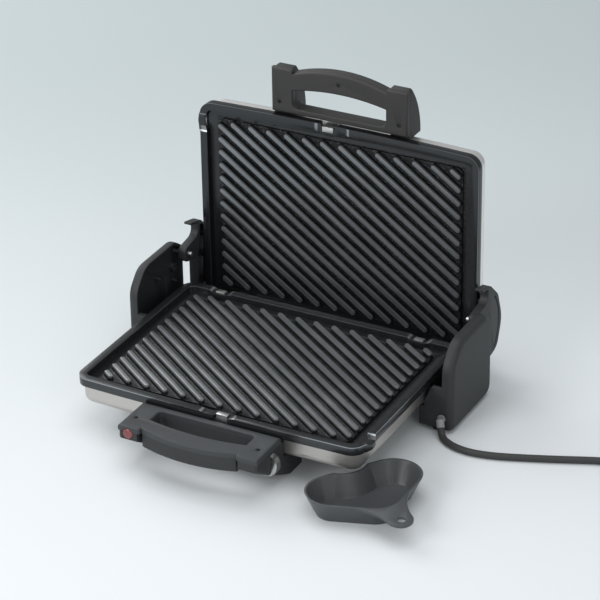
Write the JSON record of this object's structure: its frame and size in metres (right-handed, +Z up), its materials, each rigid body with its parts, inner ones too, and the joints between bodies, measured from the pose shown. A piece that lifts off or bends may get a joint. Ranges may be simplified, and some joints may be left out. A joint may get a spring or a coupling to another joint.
{
  "type": "contact grill",
  "caption": "Open contact grill: two ribbed non-stick plates in steel shells, hinged lid, handles with thermostat wheel and red lamp, side covers, mains lead and a heart-shaped drip cup.",
  "frame": {"origin": "bottom centre of the box round the grill and its drip cup, on the table, the mains lead left out", "axes": "+X to the user's right along the hinge, -Y towards the user and the handles, +Z up"},
  "size_m": [0.7359, 0.3766, 0.3195],
  "materials": {
    "bright_aluminium": "bright rolled",
    "bush_plastic": "natural nylon",
    "ceramic_white": "fired, unglazed",
    "chrome_metal": "polished, knurled rim",
    "coated_casting": "dark non-stick coating, semi-gloss",
    "cord_rubber": "satin",
    "cover_plastic": "fine grain",
    "cup_plastic": "satin",
    "dark_steel": "black-oxide",
    "foot_rubber": "matt",
    "handle_body_plastic": "fine grain",
    "handle_cap_plastic": "fine grain",
    "heater_steel": "oxidised",
    "lamp_glass": "clear",
    "pin_brass": "nickel-bright",
    "red_lens": "clear red",
    "relief_plastic": "satin",
    "satin_steel": "satin",
    "zinc_steel": "zinc-plated"
  },
  "bodies": {
    "base": {"bracket_rivets": "dark_steel", "cord_coil": "cord_rubber", "cord_run": "cord_rubber", "cord_tail": "cord_rubber", "cord_tie": "cord_rubber", "cover_screws": "zinc_steel", "front_feet": "foot_rubber", "left_cover": "cover_plastic", "left_hinge_bracket": "dark_steel", "lower_handle_base": "handle_body_plastic", "lower_handle_bolts": "zinc_steel", "lower_handle_cap": "handle_cap_plastic", "lower_handle_screws": "dark_steel", "lower_heater": "heater_steel", "lower_heater_saddles": "ceramic_white", "lower_plate": "coated_casting", "lower_plate_hooks": "zinc_steel", "lower_reflector": "bright_aluminium", "lower_shell": "satin_steel", "pilot_lamp": "lamp_glass", "pilot_lens": "red_lens", "pivot_bushes": "bush_plastic", "pivot_pins": "zinc_steel", "plug_body": "cord_rubber", "plug_pins": "pin_brass", "rear_feet": "foot_rubber", "right_cover": "cover_plastic", "right_hinge_bracket": "dark_steel", "strain_relief": "relief_plastic", "thermostat": "ceramic_white"},
    "lid": {"upper_handle_base": "handle_body_plastic", "upper_handle_bolts": "zinc_steel", "upper_handle_cap": "handle_cap_plastic", "upper_handle_screws": "dark_steel", "upper_heater": "heater_steel", "upper_heater_saddles": "ceramic_white", "upper_plate": "coated_casting", "upper_plate_hooks": "zinc_steel", "upper_reflector": "bright_aluminium", "upper_shell": "satin_steel", "right_lid_strap": "dark_steel", "left_lid_strap": "dark_steel", "right_lid_arm": "cover_plastic", "left_lid_arm": "cover_plastic", "lid_lugs": "dark_steel", "lug_screws": "zinc_steel", "toe_pins": "zinc_steel"},
    "thermostat_knob": {"thermostat_wheel": "chrome_metal", "thermostat_spindle": "chrome_metal"},
    "lower_catch": {"lower_plate_catch": "zinc_steel"},
    "upper_catch": {"upper_plate_catch": "zinc_steel"},
    "drip_cup": {"drip_cup": "cup_plastic"}
  },
  "joints": [
    {"name": "lid_hinge", "type": "hinge", "parent": "base", "child": "lid", "pos_m": [-0.02594, 0.10725, 0.024], "axis": [1, 0, 0], "range_deg": [0, 90]},
    {"name": "thermostat_turn", "type": "hinge", "parent": "base", "child": "thermostat_knob", "pos_m": [0.04756, -0.15075, 0.032], "axis": [0, 1, 0], "range_deg": [0, 270]},
    {"name": "lower_catch_slide", "type": "slide", "parent": "base", "child": "lower_catch", "axis": [0, -1, 0], "range_m": [0, 0.003], "stiffness_N_per_m": 300, "springref_m": -0.003},
    {"name": "upper_catch_slide", "type": "slide", "parent": "lid", "child": "upper_catch", "axis": [0, 0, 1], "range_m": [0, 0.003], "stiffness_N_per_m": 300, "springref_m": -0.003},
    {"name": "drip_cup_slide", "type": "slide", "parent": "base", "child": "drip_cup", "axis": [0.8141, -0.5807, 0], "range_m": [0, 0.1]}
  ]
}
